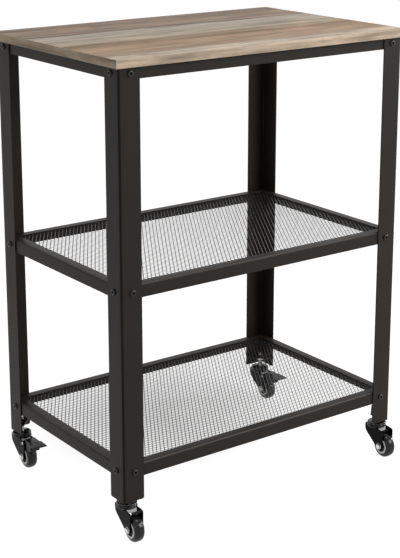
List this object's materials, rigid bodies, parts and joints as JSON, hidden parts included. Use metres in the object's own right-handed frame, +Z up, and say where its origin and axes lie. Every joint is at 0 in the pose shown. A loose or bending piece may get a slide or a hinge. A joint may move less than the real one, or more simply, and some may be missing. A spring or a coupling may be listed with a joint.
{
  "type": "serving cart",
  "caption": "Rolling kitchen serving cart: a wood plank top and mesh shelves on angle-steel legs, with swivel casters and foot brakes on the back ones.",
  "frame": {"origin": "on the floor, under the middle of the outline seen from above, wheels included; the tabletop's middle is 11.75 mm behind it", "axes": "+X along the long side to the right of someone facing the front, +Y from the front to the back, +Z up; the front is the long side the wheels trail toward, and the brakes are at the back"},
  "size_m": [0.61, 0.4238, 0.805],
  "materials": {
    "wood_top": "matt grey-washed planks",
    "black_steel": "satin black powder coat",
    "mesh_steel": "satin dark grey expanded mesh",
    "black_bolts": "black oxide",
    "zinc": "bright zinc plate",
    "caster_black": "gloss black enamel",
    "pedal": "gloss black enamel",
    "tyre": "smooth black rubber",
    "hub": "dark grey moulded plastic"
  },
  "bodies": {
    "frame": {"tabletop": "wood_top", "leg_front_left": "black_steel", "leg_front_right": "black_steel", "leg_back_right": "black_steel", "leg_back_left": "black_steel", "top_rail_front": "black_steel", "top_rail_right": "black_steel", "top_rail_back": "black_steel", "top_rail_left": "black_steel", "middle_rail_front": "black_steel", "middle_rail_right": "black_steel", "middle_rail_back": "black_steel", "middle_rail_left": "black_steel", "bottom_rail_front": "black_steel", "bottom_rail_right": "black_steel", "bottom_rail_back": "black_steel", "bottom_rail_left": "black_steel", "middle_mesh": "mesh_steel", "bottom_mesh": "mesh_steel", "top_bolts": "black_bolts", "middle_bolts": "black_bolts", "bottom_bolts": "black_bolts", "tabletop_screws": "zinc", "socket_plates": "black_steel", "caster_stem_front_left": "zinc", "caster_stem_front_right": "zinc", "caster_stem_back_right": "zinc", "caster_stem_back_left": "zinc"},
    "swivel_front_left": {"caster_fork_front_left": "caster_black", "axle_front_left": "zinc"},
    "wheel_front_left": {"wheel_tyre_front_left": "tyre", "wheel_hub_front_left": "hub"},
    "swivel_front_right": {"caster_fork_front_right": "caster_black", "axle_front_right": "zinc"},
    "wheel_front_right": {"wheel_tyre_front_right": "tyre", "wheel_hub_front_right": "hub"},
    "swivel_back_right": {"caster_fork_back_right": "caster_black", "axle_back_right": "zinc", "brake_pin_back_right": "zinc"},
    "wheel_back_right": {"wheel_tyre_back_right": "tyre", "wheel_hub_back_right": "hub"},
    "brake_back_right": {"brake_pedal_back_right": "pedal"},
    "swivel_back_left": {"caster_fork_back_left": "caster_black", "axle_back_left": "zinc", "brake_pin_back_left": "zinc"},
    "wheel_back_left": {"wheel_tyre_back_left": "tyre", "wheel_hub_back_left": "hub"},
    "brake_back_left": {"brake_pedal_back_left": "pedal"}
  },
  "joints": [
    {"name": "swivel_turn_front_left", "type": "hinge", "parent": "frame", "child": "swivel_front_left", "pos_m": [-0.282, -0.16525, 0.058], "axis": [0, 0, 1], "continuous": true},
    {"name": "wheel_roll_front_left", "type": "hinge", "parent": "swivel_front_left", "child": "wheel_front_left", "pos_m": [-0.28326, -0.18922, 0.0225], "axis": [0.9986, -0.0523, 0], "continuous": true},
    {"name": "swivel_turn_front_right", "type": "hinge", "parent": "frame", "child": "swivel_front_right", "pos_m": [0.282, -0.16525, 0.058], "axis": [0, 0, 1], "continuous": true},
    {"name": "wheel_roll_front_right", "type": "hinge", "parent": "swivel_front_right", "child": "wheel_front_right", "pos_m": [0.28074, -0.18922, 0.0225], "axis": [0.9986, -0.0523, 0], "continuous": true},
    {"name": "swivel_turn_back_right", "type": "hinge", "parent": "frame", "child": "swivel_back_right", "pos_m": [0.282, 0.18875, 0.058], "axis": [0, 0, 1], "continuous": true},
    {"name": "wheel_roll_back_right", "type": "hinge", "parent": "swivel_back_right", "child": "wheel_back_right", "pos_m": [0.28074, 0.16478, 0.0225], "axis": [0.9986, -0.0523, 0], "continuous": true},
    {"name": "brake_press_back_right", "type": "hinge", "parent": "swivel_back_right", "child": "brake_back_right", "pos_m": [0.28059, 0.16179, 0.0505], "axis": [0.9986, -0.0523, 0], "range_deg": [0, 10]},
    {"name": "swivel_turn_back_left", "type": "hinge", "parent": "frame", "child": "swivel_back_left", "pos_m": [-0.282, 0.18875, 0.058], "axis": [0, 0, 1], "continuous": true},
    {"name": "wheel_roll_back_left", "type": "hinge", "parent": "swivel_back_left", "child": "wheel_back_left", "pos_m": [-0.28326, 0.16478, 0.0225], "axis": [0.9986, -0.0523, 0], "continuous": true},
    {"name": "brake_press_back_left", "type": "hinge", "parent": "swivel_back_left", "child": "brake_back_left", "pos_m": [-0.28341, 0.16179, 0.0505], "axis": [0.9986, -0.0523, 0], "range_deg": [0, 10]}
  ]
}
